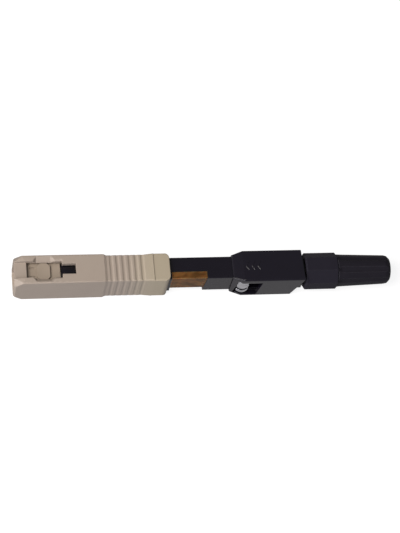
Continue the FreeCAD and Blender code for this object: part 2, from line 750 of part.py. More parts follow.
def make_splice_body():
    """Amber splice housing: a block in the neck with a raised pad that fills the window."""
    core = centred_block(SPLICE_START, SPLICE_END, SPLICE_WIDTH, SPLICE_HEIGHT)
    near = -NECK_WIDTH / 2 + SIGHT_BLOCK_SET_IN
    inner = -NECK_WIDTH / 2 + SIGHT_WINDOW_DEPTH
    top = NECK_HEIGHT / 2 - SIGHT_BLOCK_SET_IN
    bottom = -SIGHT_BLOCK_BOTTOM
    pad = end_prism([
        (near, bottom),
        (near, top - SIGHT_BLOCK_SET_IN),
        (near + SIGHT_BLOCK_SET_IN, top),
        (inner, top),
        (inner, bottom - SIGHT_BLOCK_CHAMFER),
        (near + SIGHT_BLOCK_CHAMFER, bottom - SIGHT_BLOCK_CHAMFER),
    ], SIGHT_WINDOW_START, SIGHT_WINDOW_END)
    body = core.fuse(pad.common(sight_window(SIGHT_BLOCK_CLEARANCE)))
    bore_start = SPLICE_START + CLIP_END_WALL
    return body.cut([
        rod(CLIP_RADIUS + CLIP_CLEARANCE, bore_start, SPLICE_END + PAST),
        rod(STUB_HOLE_RADIUS, SPLICE_START - PAST, bore_start + PAST),
    ])


def make_clamp_spring():
    """Rolled steel C clip that squeezes the lids on the grooved plate."""
    x0 = SPLICE_START + CLIP_END_WALL
    x1 = x0 + CLIP_LENGTH
    tube = rod(CLIP_RADIUS, x0, x1).cut(rod(CLIP_RADIUS - CLIP_WALL, x0, x1))
    slit = block(x0 - PAST, x1 + PAST, -CLIP_RADIUS - PAST, 0, -CLIP_SLIT / 2, CLIP_SLIT / 2)
    return tube.cut(slit)


def splice_half(x0, x1, low, high):
    """A slice of the rod that fills the clip, between two heights."""
    inside = CLIP_RADIUS - CLIP_WALL - CORE_CLEARANCE
    return rod(inside, x0, x1).common(block(x0, x1, -inside, inside, low, high))


def make_groove_base():
    """Lower half of the splice core, with the V groove that lines the fibres up."""
    x0 = SPLICE_START + CLIP_END_WALL
    x1 = x0 + CLIP_LENGTH
    lean = math.radians(GROOVE_HALF_ANGLE)
    depth = FIBRE_RADIUS / math.sin(lean)
    half = depth * math.tan(lean)
    base = splice_half(x0, x1, -CLIP_RADIUS, 0)
    return base.cut(end_prism([(0, -depth), (half, 0), (-half, 0)], x0 - PAST, x1 + PAST))


def make_groove_lid(first):
    """Upper half of the splice core: the front lid holds the stub, the rear one the cable's fibre."""
    x0 = SPLICE_START + CLIP_END_WALL
    x1 = x0 + CLIP_LENGTH
    middle = (x0 + x1) / 2
    start = x0 if first else middle + LID_GAP / 2
    end = middle - LID_GAP / 2 if first else x1
    return splice_half(start, end, FIBRE_RADIUS, CLIP_RADIUS)


def make_fibre_guide():
    """Moulded funnel behind the splice that leads the stripped fibre into the groove."""
    x0 = SPLICE_END
    x1 = x0 + GUIDE_LENGTH
    body = centred_block(x0, x1, SPLICE_WIDTH, SPLICE_HEIGHT)
    funnel = turned([
        (x0 - PAST, 0),
        (x0 - PAST, GUIDE_HOLE_RADIUS),
        (x0 + GUIDE_CLEARANCE, GUIDE_HOLE_RADIUS),
        (x1, GUIDE_CONE_RADIUS),
        (x1 + PAST, GUIDE_CONE_RADIUS),
        (x1 + PAST, 0),
    ])
    return body.cut(funnel)


# ---- locking slider ------------------------------------------------------------------------------------

def side_slot():
    """Slanted slot through the slider's near wall."""
    x0 = SLIDER_START + SIDE_SLOT_START
    x1 = x0 + SIDE_SLOT_LENGTH
    low = -SIDE_SLOT_BOTTOM
    return side_prism([
        (x0, low), (x1 - SIDE_SLOT_LEAN, low),
        (x1, SIDE_SLOT_TOP), (x0 + SIDE_SLOT_LEAN, SIDE_SLOT_TOP),
    ], -SLIDER_WIDTH / 2 - PAST, -NECK_WIDTH / 2)


def make_lock_slider():
    """Sleeve that slides forward along the neck and locks the splice."""
    mouth = (
        NECK_WIDTH + 2 * SLIDER_CLEARANCE + 2 * SLIDER_LIP,
        NECK_HEIGHT + 2 * SLIDER_CLEARANCE + 2 * SLIDER_LIP,
    )
    full = (SLIDER_WIDTH, SLIDER_HEIGHT)
    flare_end = SLIDER_START + SLIDER_FLARE_LENGTH
    rear = SLIDER_START + SLIDER_LENGTH
    body = taper(SLIDER_START, mouth, flare_end, full, SLIDER_EDGE)
    body = body.fuse(bar(flare_end, rear, full[0], full[1], SLIDER_EDGE))
    half = SLIDER_HEIGHT / 2
    lean = SLIDER_REAR_LEAN / SLIDER_HEIGHT
    rear_cut = side_prism([
        (rear - SLIDER_REAR_LEAN - lean * PAST, -half - PAST),
        (rear + lean * PAST, half + PAST),
        (rear + SLIDER_REAR_LEAN, half + PAST),
        (rear + SLIDER_REAR_LEAN, -half - PAST),
    ], -2 * SLIDER_WIDTH, 2 * SLIDER_WIDTH)
    skew = math.degrees(math.atan(SLIDER_REAR_SKEW / SLIDER_WIDTH))
    rear_cut.rotate(Vector(rear, -SLIDER_WIDTH / 2, 0), Z_AXIS, skew)
    bore = bar(
        SLIDER_START - PAST, rear + PAST,
        NECK_WIDTH + 2 * SLIDER_CLEARANCE, NECK_HEIGHT + 2 * SLIDER_CLEARANCE, NECK_EDGE,
    )
    body = body.cut(rear_cut)
    body.translate(Vector(0, 0, -SLIDER_DROP))
    return body.cut([bore, side_slot()])


def make_detent_leaf():
    """Polished spring leaf in the slider's slot, split into two bowed fingers."""
    x0 = SLIDER_START + SIDE_SLOT_START + SIDE_SLOT_LEAN + LEAF_END_GAP
    x1 = x0 + LEAF_LENGTH
    inner = -NECK_WIDTH / 2 - SLIDER_CLEARANCE
    middle = (x0 + x1) / 2
    base = [(x0, inner), (middle, inner - LEAF_BOW), (x1, inner)]
    outer = [(x, y - LEAF_THICKNESS) for x, y in reversed(base)]
    leaf = top_prism(base + outer, -LEAF_BOTTOM, LEAF_TOP)
    slit_low = -LEAF_SLIT_DROP - LEAF_SLIT / 2
    slit_high = slit_low + LEAF_SLIT
    slit = block(x0 - PAST, x1 - LEAF_THICKNESS, -SLIDER_WIDTH, 0, slit_low, slit_high)
    return leaf.cut(slit)


# ---- cap nut, jaws and boot --------------------------------------------------------------------------

def octagon(x, across_flats):
    """A regular eight-sided outline with flats above, below and at the sides."""
    radius = across_flats / 2 / math.cos(math.pi / NUT_SIDES)
    points = []
    for i in range(NUT_SIDES):
        angle = (2 * i + 1) * math.pi / NUT_SIDES
        points.append(Vector(x, radius * math.cos(angle), radius * math.sin(angle)))
    return Part.makePolygon(points + points[:1])


def make_cap_nut():
    """Eight-sided nut that screws on the backbone and closes the jaws."""
    small = NUT_ACROSS_FLATS - 2 * NUT_EDGE
    outlines = [
        octagon(NUT_START, small),
        octagon(NUT_START + NUT_EDGE, NUT_ACROSS_FLATS),
        octagon(NUT_END - NUT_EDGE, NUT_ACROSS_FLATS),
        octagon(NUT_END, small),
    ]
    body = Part.makeLoft(outlines, True, True)
    thread = THREAD_RADIUS + NUT_THREAD_CLEARANCE
    bore = turned([
        (NUT_START - PAST, 0),
        (NUT_START - PAST, thread),
        (NUT_END - BOOT_ROOT_LENGTH, thread),
        (NUT_END - BOOT_ROOT_LENGTH, BOOT_ROOT_RADIUS),
        (NUT_END + PAST, BOOT_ROOT_RADIUS),
        (NUT_END + PAST, 0),
    ])
    return body.cut(bore)


def boot_flutes():
    """Long scooped flutes round the boot, with rounded starts."""
    tools = []
    slope = math.atan((BOOT_RADIUS - BOOT_END_RADIUS) / BOOT_LENGTH)
    for i in range(FLUTE_COUNT):
        start = NUT_END + FLUTE_SET_BACK
        reach = BOOT_RADIUS + FLUTE_RADIUS - FLUTE_DEPTH
        tool = Part.makeCylinder(FLUTE_RADIUS, 2 * BOOT_LENGTH, Vector(start, 0, reach), X_AXIS)
        tool = tool.fuse(Part.makeSphere(FLUTE_RADIUS, Vector(start, 0, reach)))
        tool.rotate(Vector(start, 0, reach), Y_AXIS, math.degrees(slope))
        tool.rotate(ORIGIN, X_AXIS, (i + 0.5) * 360 / FLUTE_COUNT)
        tools.append(tool)
    return tools


def make_strain_boot():
    """Fluted boot behind the nut, with the cable's bore."""
    taper_end = BOOT_END - BOOT_END_ROUND
    root = NUT_END - BOOT_ROOT_LENGTH
    rim = BOOT_END_RADIUS - BOOT_END_ROUND
    profile = [
        (root, BOOT_BORE_RADIUS), (root, BOOT_ROOT_RADIUS), (NUT_END, BOOT_ROOT_RADIUS),
        (NUT_END, BOOT_RADIUS),
    ]
    for i in range(BOOT_ROUND_STEPS + 1):
        angle = i * math.pi / 2 / BOOT_ROUND_STEPS
        profile.append((
            taper_end + BOOT_END_ROUND * math.sin(angle), rim + BOOT_END_ROUND * math.cos(angle),
        ))
    profile.append((BOOT_END, BOOT_BORE_RADIUS))
    body = turned(profile)
    return body.cut(boot_flutes())


def make_cable_jaw(side):
    """Half of the split collet that grips the cable's jacket."""
    x0 = THREAD_END - JAW_SEAT_LENGTH
    x1 = x0 + JAW_LENGTH
    profile = [
        (x0, JAW_GRIP_RADIUS), (x0, JAW_RADIUS), (THREAD_END, JAW_RADIUS), (x1, JAW_TIP_RADIUS),
    ]
    step = JAW_LENGTH / JAW_TEETH
    for i in range(JAW_TEETH):
        x = x1 - i * step
        profile += [(x, JAW_GRIP_RADIUS + JAW_TOOTH_DEPTH), (x - step, JAW_GRIP_RADIUS)]
    ring = turned(profile[:-1])
    outside = JAW_RADIUS + PAST
    half = ring.common(block(x0 - PAST, x1 + PAST, JAW_SLIT / 2, outside, -outside, outside))
    if side < 0:
        half.rotate(ORIGIN, X_AXIS, 180)
    return half


def make_jaw_ring():
    """Slip ring that the nut pushes over the jaws, so that they close without turning."""
    x0 = THREAD_END + NUT_THREAD_CLEARANCE
    return rod(RING_RADIUS, x0, x0 + RING_LENGTH).cut(
        rod(JAW_RADIUS + RING_CLEARANCE, x0, x0 + RING_LENGTH))


# ---- write the pieces --------------------------------------------------------------------------------

os.makedirs("parts", exist_ok=True)
save("outer_shell", make_outer_shell())
save("plug_frame", make_plug_frame())
save("ferrule", make_ferrule())
save("ferrule_flange", make_ferrule_flange())
save("ferrule_spring", make_ferrule_spring())
save("fibre_stub", make_fibre_stub())
save("backbone", make_backbone())
save("splice_body", make_splice_body())
save("clamp_spring", make_clamp_spring())
save("groove_base", make_groove_base())
save("groove_lid_front", make_groove_lid(True))
save("groove_lid_rear", make_groove_lid(False))
save("fibre_guide", make_fibre_guide())
save("lock_slider", make_lock_slider())
save("detent_leaf", make_detent_leaf())
save("cap_nut", make_cap_nut())
save("jaw_ring", make_jaw_ring())
save("cable_jaw_left", make_cable_jaw(1))
save("cable_jaw_right", make_cable_jaw(-1))
save("strain_boot", make_strain_boot())
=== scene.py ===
import math

import bmesh
import bpy
import numpy as np
from mathutils import Matrix, Vector


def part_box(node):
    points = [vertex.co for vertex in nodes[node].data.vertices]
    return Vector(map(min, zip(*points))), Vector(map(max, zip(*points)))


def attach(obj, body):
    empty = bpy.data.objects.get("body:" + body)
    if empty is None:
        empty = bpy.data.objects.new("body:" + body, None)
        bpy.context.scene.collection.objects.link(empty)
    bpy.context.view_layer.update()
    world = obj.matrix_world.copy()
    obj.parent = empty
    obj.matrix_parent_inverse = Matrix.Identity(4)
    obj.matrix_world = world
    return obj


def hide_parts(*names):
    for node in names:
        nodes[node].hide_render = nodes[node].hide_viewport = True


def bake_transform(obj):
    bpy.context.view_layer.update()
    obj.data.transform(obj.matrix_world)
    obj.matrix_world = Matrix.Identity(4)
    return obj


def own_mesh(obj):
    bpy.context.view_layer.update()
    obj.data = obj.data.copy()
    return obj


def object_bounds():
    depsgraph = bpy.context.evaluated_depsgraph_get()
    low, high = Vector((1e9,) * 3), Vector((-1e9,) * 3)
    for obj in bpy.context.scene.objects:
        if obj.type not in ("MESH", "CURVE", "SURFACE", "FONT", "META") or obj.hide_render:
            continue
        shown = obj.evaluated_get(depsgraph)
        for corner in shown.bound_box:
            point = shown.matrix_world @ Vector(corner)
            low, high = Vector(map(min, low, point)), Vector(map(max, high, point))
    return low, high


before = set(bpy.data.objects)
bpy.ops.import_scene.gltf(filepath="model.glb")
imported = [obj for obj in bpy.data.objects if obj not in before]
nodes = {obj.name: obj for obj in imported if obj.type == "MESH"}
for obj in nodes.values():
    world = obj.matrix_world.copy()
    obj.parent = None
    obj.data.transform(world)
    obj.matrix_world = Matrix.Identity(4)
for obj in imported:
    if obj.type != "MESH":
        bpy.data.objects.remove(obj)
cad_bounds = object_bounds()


# ---- outer shell ---------------------------------------------------------------------------------
# The coupling sleeve that the fingers pull: one beige moulding in a stiff polyester plastic.
# The mould was spark-eroded, so its faces are satin with a fine grain, and handling has rubbed
# the edges a shade paler. The corners carry a faint painted shade.

PAINTED_WARM_LIGHT_BEIGE = "#b4a893"
PAINTED_WARM_LIGHT_FROM = 0.024
PAINTED_WARM_LIGHT_TO = 0.034
WHOLE_EDGE = 0.25
FULLY_HIDDEN = 0.2

# Noise seldom leaves this range, so gloss is spread over it.
NOISE_LOW, NOISE_HIGH = 0.3, 0.7

# The mixing node keeps a socket of each kind under one name, so its colours go by number, as the
# terms of a math node do.
FIRST_COLOUR, SECOND_COLOUR, MIXED_COLOUR = 6, 7, 2


def linear(hex_colour):
    """An sRGB hex colour as linear RGBA."""
    channels = [int(hex_colour[i:i + 2], 16) / 255 for i in (1, 3, 5)]
    return [c / 12.92 if c <= 0.04045 else ((c + 0.055) / 1.055) ** 2.4 for c in channels] + [1.0]


def add(tree, kind, settings=(), inputs=()):
    """Adds one shader node: settings are its properties, inputs its values or feeding sockets."""
    made = tree.nodes.new(kind)
    for name, value in dict(settings).items():
        setattr(made, name, value)
    for name, value in dict(inputs).items():
        if isinstance(value, bpy.types.NodeSocket):
            tree.links.new(value, made.inputs[name])
        else:
            made.inputs[name].default_value = value
    return made


def new_material(name):
    """An empty node material: itself, its node tree, and the part's own coordinates."""
    material = bpy.data.materials.new(name)
    material.use_nodes = True
    tree = material.node_tree
    tree.nodes.clear()
    return material, tree, add(tree, "ShaderNodeTexCoord").outputs["Object"]


def edge_mask(tree, radius, full):
    """A mask that is 1 where the surface turns a corner within the radius, and the rounded normal.

    The rounded normal leans away from the true one near an edge, so 1 minus their dot product
    grows there; full is the value that counts as a whole edge.
    """
    rounded = add(tree, "ShaderNodeBevel", {"samples": 6}, {"Radius": radius}).outputs["Normal"]
    flat = add(tree, "ShaderNodeNewGeometry").outputs["True Normal"]
    dot = add(tree, "ShaderNodeVectorMath", {"operation": "DOT_PRODUCT"}, {0: rounded, 1: flat})
    mask = add(tree, "ShaderNodeMapRange", {},
               {"Value": dot.outputs["Value"], "From Min": 1.0, "From Max": 1.0 - full})
    return mask.outputs["Result"], rounded


def moulded_plastic(name, base, pale, rubbed_and_highlit, painted_shade, mottle, grain, grain_height, edge, roughness,
                    wear_and_highlight=0.5, painted_shade_reach=0.0012, painted_shade_amount=0.5, painted_shade_from=0.75, level=0.5,
                    painted_warm_light=None):
    """Moulded plastic: mottled colour, paler edges, painted shade in the corners, a grained skin.

    mottle, grain, edge and painted_shade_reach are sizes in metres. The grain is drawn some ten
    times coarser than the real one, which would be lost at arm's length. The painted shade starts
    where a corner is less open than painted_shade_from. level is the strength of the gloss.
    painted_warm_light is a colour that the body is painted towards along the part, for warmer
    light there, with where that starts and where it is full. The paler edges are wear, and where
    wear_and_highlight is high they are a painted highlight as well.
    """
    material, tree, place = new_material(name)
    cloud = add(tree, "ShaderNodeTexNoise", {},
                {"Vector": place, "Scale": 1 / mottle, "Detail": 4.0, "Roughness": 0.6})
    grained = add(tree, "ShaderNodeTexNoise", {},
                  {"Vector": place, "Scale": 1 / grain, "Detail": 2.0})
    body = add(tree, "ShaderNodeMix", {"data_type": "RGBA"},
               {"Factor": cloud.outputs["Fac"],
                FIRST_COLOUR: linear(base), SECOND_COLOUR: linear(pale)})
    # Painted warm light: the body's colour drifts along the part to a yellower one, for warmer light
    # at that end.
    if painted_warm_light:
        warm_lit_colour, start, full = painted_warm_light
        along = add(tree, "ShaderNodeSeparateXYZ", {}, {"Vector": place})
        reach = add(tree, "ShaderNodeMapRange", {"interpolation_type": "SMOOTHSTEP"},
                    {"Value": along.outputs["X"], "From Min": start, "From Max": full})
        body = add(tree, "ShaderNodeMix", {"data_type": "RGBA"},
                   {"Factor": reach.outputs["Result"],
                    FIRST_COLOUR: body.outputs[MIXED_COLOUR], SECOND_COLOUR: linear(warm_lit_colour)})
    # The paler edges are wear, and where the amount is high, a painted highlight along the crests as
    # well.
    edges, rounded = edge_mask(tree, edge, WHOLE_EDGE)
    broken = add(tree, "ShaderNodeMath", {"operation": "MULTIPLY"},
                 {0: edges, 1: cloud.outputs["Fac"]})
    worn_and_highlit = add(tree, "ShaderNodeMath", {"operation": "MULTIPLY"},
               {0: broken.outputs["Value"], 1: wear_and_highlight * 2})
    edged = add(tree, "ShaderNodeMix", {"data_type": "RGBA"},
                {"Factor": worn_and_highlit.outputs["Value"],
                 FIRST_COLOUR: body.outputs[MIXED_COLOUR], SECOND_COLOUR: linear(rubbed_and_highlit)})
    # Painted shade: the colour darkens where ambient occlusion finds the surface closed in.
    corner = add(tree, "ShaderNodeAmbientOcclusion", {"samples": 6}, {"Distance": painted_shade_reach})
    hidden = add(tree, "ShaderNodeMapRange", {},
                 {"Value": corner.outputs["AO"], "From Min": painted_shade_from,
                  "From Max": FULLY_HIDDEN, "To Min": 0.0, "To Max": painted_shade_amount})
    painted_shade_mixed = add(tree, "ShaderNodeMix", {"data_type": "RGBA"},
                 {"Factor": hidden.outputs["Result"],
                  FIRST_COLOUR: edged.outputs[MIXED_COLOUR], SECOND_COLOUR: linear(painted_shade)})
    gloss = add(tree, "ShaderNodeMapRange", {},
                {"Value": grained.outputs["Fac"], "From Min": NOISE_LOW, "From Max": NOISE_HIGH,
                 "To Min": roughness - 0.02, "To Max": roughness + 0.03})
    relief = add(tree, "ShaderNodeBump", {},
                 {"Height": grained.outputs["Fac"], "Distance": grain_height, "Strength": 0.6,
                  "Normal": rounded})
    shader = add(tree, "ShaderNodeBsdfPrincipled", {},
                 {"Base Color": painted_shade_mixed.outputs[MIXED_COLOUR],
                  "Roughness": gloss.outputs["Result"], "Normal": relief.outputs["Normal"],
                  "IOR": 1.5, "Specular IOR Level": level})
    add(tree, "ShaderNodeOutputMaterial", {}, {"Surface": shader.outputs["BSDF"]})
    return material


def finish_node(name, material):
    """Gives a carried-over piece its finish."""
    mesh = nodes[name].data
    mesh.materials.clear()
    mesh.materials.append(material)


# Satin beige, a little livelier than paint, and painted yellower at the collar for warmer light
# there.
shell_plastic = moulded_plastic(
    "moulded_beige_polyester", base="#a89a8e", pale="#aea195", rubbed_and_highlit="#bfb4a8", painted_shade="#8a7a6c",
    mottle=0.0045, grain=0.00030, grain_height=0.000012, edge=0.00026, roughness=0.42, wear_and_highlight=0.35,
    painted_shade_amount=0.25, painted_warm_light=(PAINTED_WARM_LIGHT_BEIGE, PAINTED_WARM_LIGHT_FROM, PAINTED_WARM_LIGHT_TO),
)
finish_node("outer_shell", shell_plastic)


# ---- plug frame ----------------------------------------------------------------------------------
# The square inner housing that carries the ferrule, seen through the shell's windows. It is the
# same kind of moulding in a browner beige, smoother, because it has to slide in the shell.

# Browner beige, with a painted shade where the shell stands over it.
frame_plastic = moulded_plastic(
    "moulded_beige_frame", base="#9d8f80", pale="#a89a8b", rubbed_and_highlit="#b9ac9d", painted_shade="#54473b",
    mottle=0.002, grain=0.00035, grain_height=0.000006, edge=0.00012, roughness=0.38,
    painted_shade_amount=0.35,
)
finish_node("plug_frame", frame_plastic)


# ---- ferrule -------------------------------------------------------------------------------------
# Zirconia rod, sintered and then ground round, so it is dense, white and glossy, with fine
# grinding marks round it.

SINTER_CLOUD = 0.0008
GRINDING_DEPTH = 0.000002

# Half a millimetre is far coarser than real grinding marks, because finer ones wouldn't show.
GRINDING_PITCH = 0.0005

# At a scale of 1, the wave node draws this many bands to a unit of length.
BANDS_TO_A_UNIT = 20 / math.tau


def ground_zirconia(name):
    """Ground zirconia: an even warm white that lets a little light in, with faint rings."""
    material, tree, place = new_material(name)
    cloud = add(tree, "ShaderNodeTexNoise", {},
                {"Vector": place, "Scale": 1 / SINTER_CLOUD, "Detail": 3.0})
    tint = add(tree, "ShaderNodeMix", {"data_type": "RGBA"},
               {"Factor": cloud.outputs["Fac"],
                FIRST_COLOUR: linear("#e9e6dc"), SECOND_COLOUR: linear("#f4f2ec")})
    rings = add(tree, "ShaderNodeTexWave", {"bands_direction": "X"},
                {"Vector": place, "Scale": 1 / GRINDING_PITCH / BANDS_TO_A_UNIT,
                 "Distortion": 1.5, "Detail": 2.0})
    relief = add(tree, "ShaderNodeBump", {},
                 {"Height": rings.outputs["Fac"], "Distance": GRINDING_DEPTH, "Strength": 0.3})
    shader = add(tree, "ShaderNodeBsdfPrincipled", {},
                 {"Base Color": tint.outputs[MIXED_COLOUR], "Roughness": 0.16, "IOR": 2.1,
                  "Subsurface Weight": 0.15, "Subsurface Scale": 0.0004,
                  "Normal": relief.outputs["Normal"]})
    add(tree, "ShaderNodeOutputMaterial", {}, {"Surface": shader.outputs["BSDF"]})
    return material


# A glossy porcelain white that catches the eye in the dark mouth of the shell.
finish_node("ferrule", ground_zirconia("ground_zirconia"))


# ---- ferrule flange and jaw slip ring ------------------------------------------------------------
# Turned brass: the flange behind the ferrule is nickel plated, the ring over the jaws is bare.
# The cutting tool leaves fine rings, one for each turn of the work.

TOOL_FEED = 0.00024
TOOL_MARK_DEPTH = 0.000003
SMUDGE = 0.0012


def turned_metal(name, light, dark, roughness):
    """Turned metal: smudges in tone and gloss, and rings in height at the tool's feed."""
    material, tree, place = new_material(name)
    smudge = add(tree, "ShaderNodeTexNoise", {},
                 {"Vector": place, "Scale": 1 / SMUDGE, "Detail": 4.0})
    tint = add(tree, "ShaderNodeMix", {"data_type": "RGBA"},
               {"Factor": smudge.outputs["Fac"],
                FIRST_COLOUR: linear(dark), SECOND_COLOUR: linear(light)})
    gloss = add(tree, "ShaderNodeMapRange", {},
                {"Value": smudge.outputs["Fac"], "From Min": NOISE_LOW, "From Max": NOISE_HIGH,
                 "To Min": roughness - 0.06, "To Max": roughness + 0.08})
    rings = add(tree, "ShaderNodeTexWave", {"bands_direction": "X"},
                {"Vector": place, "Scale": 1 / TOOL_FEED / BANDS_TO_A_UNIT,
                 "Distortion": 0.6, "Detail": 1.0})
    relief = add(tree, "ShaderNodeBump", {},
                 {"Height": rings.outputs["Fac"], "Distance": TOOL_MARK_DEPTH, "Strength": 0.4})
    shader = add(tree, "ShaderNodeBsdfPrincipled", {},
                 {"Base Color": tint.outputs[MIXED_COLOUR], "Metallic": 1.0,
                  "Roughness": gloss.outputs["Result"], "Normal": relief.outputs["Normal"]})
    add(tree, "ShaderNodeOutputMaterial", {}, {"Surface": shader.outputs["BSDF"]})
    return material


# A warm silver and a soft yellow, both broken by smudges and fine rings.
finish_node("ferrule_flange", turned_metal(
    "nickel_plated_brass", light="#d6d2ca", dark="#bdb8ae", roughness=0.24))
finish_node("jaw_ring", turned_metal(
    "turned_brass", light="#d9b874", dark="#b8924c", roughness=0.28))


# ---- ferrule spring and splice clip --------------------------------------------------------------
# The ferrule's coil is drawn stainless wire, wound with a closed turn at each end so that it
# stands square. The splice clip is rolled strip. Drawing and rolling leave streaks.

WIRE_STREAK = 0.00004
STRIP_STREAK = 0.00008
STREAK_STRETCH = 12
STREAK_DEPTH = 0.000002
STEEL_EDGE = 0.00005
SPRING_WIRE = 0.00032
OPEN_TURNS = 5
CLOSED_PITCH = 0.00034
STEPS_TO_A_TURN = 48
WIRE_SIDES = 14
WELD = 1e-8


def spring_steel(name, light, dark, roughness, streak):
    """Drawn or rolled steel: streaks in tone, gloss and height, drawn out along the piece."""
    material, tree, place = new_material(name)
    drawn = add(tree, "ShaderNodeMapping", {},
                {"Vector": place, "Scale": (1 / (streak * STREAK_STRETCH), 1 / streak, 1 / streak)})
    streaks = add(tree, "ShaderNodeTexNoise", {},
                  {"Vector": drawn.outputs["Vector"], "Scale": 1.0, "Detail": 3.0})
    tint = add(tree, "ShaderNodeMix", {"data_type": "RGBA"},
               {"Factor": streaks.outputs["Fac"],
                FIRST_COLOUR: linear(dark), SECOND_COLOUR: linear(light)})
    gloss = add(tree, "ShaderNodeMapRange", {},
                {"Value": streaks.outputs["Fac"], "From Min": NOISE_LOW, "From Max": NOISE_HIGH,
                 "To Min": roughness - 0.05, "To Max": roughness + 0.1})
    rounded = add(tree, "ShaderNodeBevel", {"samples": 6}, {"Radius": STEEL_EDGE})
    relief = add(tree, "ShaderNodeBump", {},
                 {"Height": streaks.outputs["Fac"], "Distance": STREAK_DEPTH, "Strength": 0.4,
                  "Normal": rounded.outputs["Normal"]})
    shader = add(tree, "ShaderNodeBsdfPrincipled", {},
                 {"Base Color": tint.outputs[MIXED_COLOUR], "Metallic": 1.0,
                  "Roughness": gloss.outputs["Result"], "Normal": relief.outputs["Normal"]})
    add(tree, "ShaderNodeOutputMaterial", {}, {"Surface": shader.outputs["BSDF"]})
    return material


def skin(name, grid):
    """A mesh piece from a grid of points: rows go along the shape, columns once round it.

    Rows that have shrunk to a point close the ends. Points that meet are merged, the faces are
    turned outwards, and the whole is shaded smooth.
    """
    # Each face joins columns j and k, the next one round, of rows i and i + 1.
    rows, columns = grid.shape[:2]
    i, j = np.meshgrid(np.arange(rows - 1), np.arange(columns), indexing="ij")
    k = (j + 1) % columns
    quads = np.stack([i * columns + j, (i + 1) * columns + j, (i + 1) * columns + k,
                      i * columns + k], axis=-1).reshape(-1, 4)
    mesh = bpy.data.meshes.new(name)
    mesh.from_pydata(grid.reshape(-1, 3).tolist(), [], quads.tolist())
    work = bmesh.new()
    work.from_mesh(mesh)
    bmesh.ops.remove_doubles(work, verts=work.verts, dist=WELD)
    bmesh.ops.recalc_face_normals(work, faces=work.faces)
    work.to_mesh(mesh)
    work.free()
    mesh.polygons.foreach_set("use_smooth", [True] * len(mesh.polygons))
    piece = bpy.data.objects.new(name, mesh)
    bpy.context.scene.collection.objects.link(piece)
    return piece


def coil(name, start, end, outer_radius, wire, open_turns, closed_pitch):
    """A compression spring along X as one closed tube of wire.

    Its centre line is (x, r cos a, r sin a): a grows evenly along the wire, and x climbs by the
    closed pitch over the first and last turns and evenly over the open turns between them. Round
    the line, a point at angle t lies half a wire times cos t outwards and times sin t square to
    that and to the wire. Both ends are cut flat.
    """
    turns = open_turns + 2
    turn = np.linspace(0, turns, STEPS_TO_A_TURN * turns + 1)
    first, last = start + wire / 2, end - wire / 2
    x = np.interp(turn, (0, 1, turns - 1, turns),
                  (first, first + closed_pitch, last - closed_pitch, last))
    a = math.tau * turn
    out = np.stack([np.zeros_like(a), np.cos(a), np.sin(a)], axis=1)
    line = out * (outer_radius - wire / 2)
    line[:, 0] = x
    step = np.gradient(line, axis=0)
    step /= np.linalg.norm(step, axis=1)[:, None]
    over = np.cross(step, out)
    t = np.linspace(0, math.tau, WIRE_SIDES, endpoint=False)
    ring = (out[:, None, :] * np.cos(t)[None, :, None]
            + over[:, None, :] * np.sin(t)[None, :, None]) * wire / 2
    tube = line[:, None, :] + ring
    ends = np.repeat(line[[0, -1], None, :], len(t), axis=1)
    return skin(name, np.concatenate([ends[:1], tube, ends[1:]]))


spring_low, spring_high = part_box("ferrule_spring")
spring = coil("wound_ferrule_spring", spring_low.x, spring_high.x, spring_high.z, SPRING_WIRE,
              OPEN_TURNS, CLOSED_PITCH)

# A soft grey gleam with hair-fine streaks.
spring.data.materials.append(spring_steel(
    "drawn_spring_wire", light="#b9b8b6", dark="#8f8e8c", roughness=0.3, streak=WIRE_STREAK))
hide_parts("ferrule_spring")
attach(spring, "core")
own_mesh(spring)

# A flatter, cooler grey than the wire.
finish_node("clamp_spring", spring_steel(
    "rolled_spring_strip", light="#bdbdc0", dark="#97979b", roughness=0.32, streak=STRIP_STREAK))


# ---- fibre stub ----------------------------------------------------------------------------------
# Bare silica fibre, an eighth of a millimetre thick, cleaved at both ends. It is fixed in the
# ferrule and in the splice, and is drawn straight between them.

SILICA_DRIFT = 0.0005
ROD_RINGS = 120
ROD_SIDES = 16


def bare_silica(name):
    """Bare silica: clear as water, with a drift in its gloss."""
    material, tree, place = new_material(name)
    cloud = add(tree, "ShaderNodeTexNoise", {},
                {"Vector": place, "Scale": 1 / SILICA_DRIFT, "Detail": 2.0})
    gloss = add(tree, "ShaderNodeMapRange", {},
                {"Value": cloud.outputs["Fac"], "To Min": 0.02, "To Max": 0.08})
    shader = add(tree, "ShaderNodeBsdfPrincipled", {},
                 {"Base Color": linear("#e6eef2"), "Roughness": gloss.outputs["Result"],
                  "Transmission Weight": 0.9, "IOR": 1.46})
    add(tree, "ShaderNodeOutputMaterial", {}, {"Surface": shader.outputs["BSDF"]})
    return material


def rod(name, start, end, radius):
    """A round rod along X: rings of the radius at even steps, each end closed flat at its middle."""
    x = np.concatenate([[start], np.linspace(start, end, ROD_RINGS), [end]])
    r = np.concatenate([[0.0], np.full(ROD_RINGS, radius), [0.0]])
    t = np.linspace(0, math.tau, ROD_SIDES, endpoint=False)
    return skin(name, np.stack([np.repeat(x[:, None], len(t), axis=1),
                                r[:, None] * np.cos(t), r[:, None] * np.sin(t)], axis=-1))


stub_low, stub_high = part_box("fibre_stub")
stub = rod("cleaved_fibre_stub", stub_low.x, stub_high.x, stub_high.z)

# A thread of clear glass that shows by its highlights alone.
stub.data.materials.append(bare_silica("bare_silica_fibre"))
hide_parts("fibre_stub")
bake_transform(stub)


# ---- backbone, fibre guide and jaws --------------------------------------------------------------
# The black body behind the shell, the funnel inside it and the two jaws: nylon filled with short
# glass fibre. The filler dulls the surface and mottles it faintly.

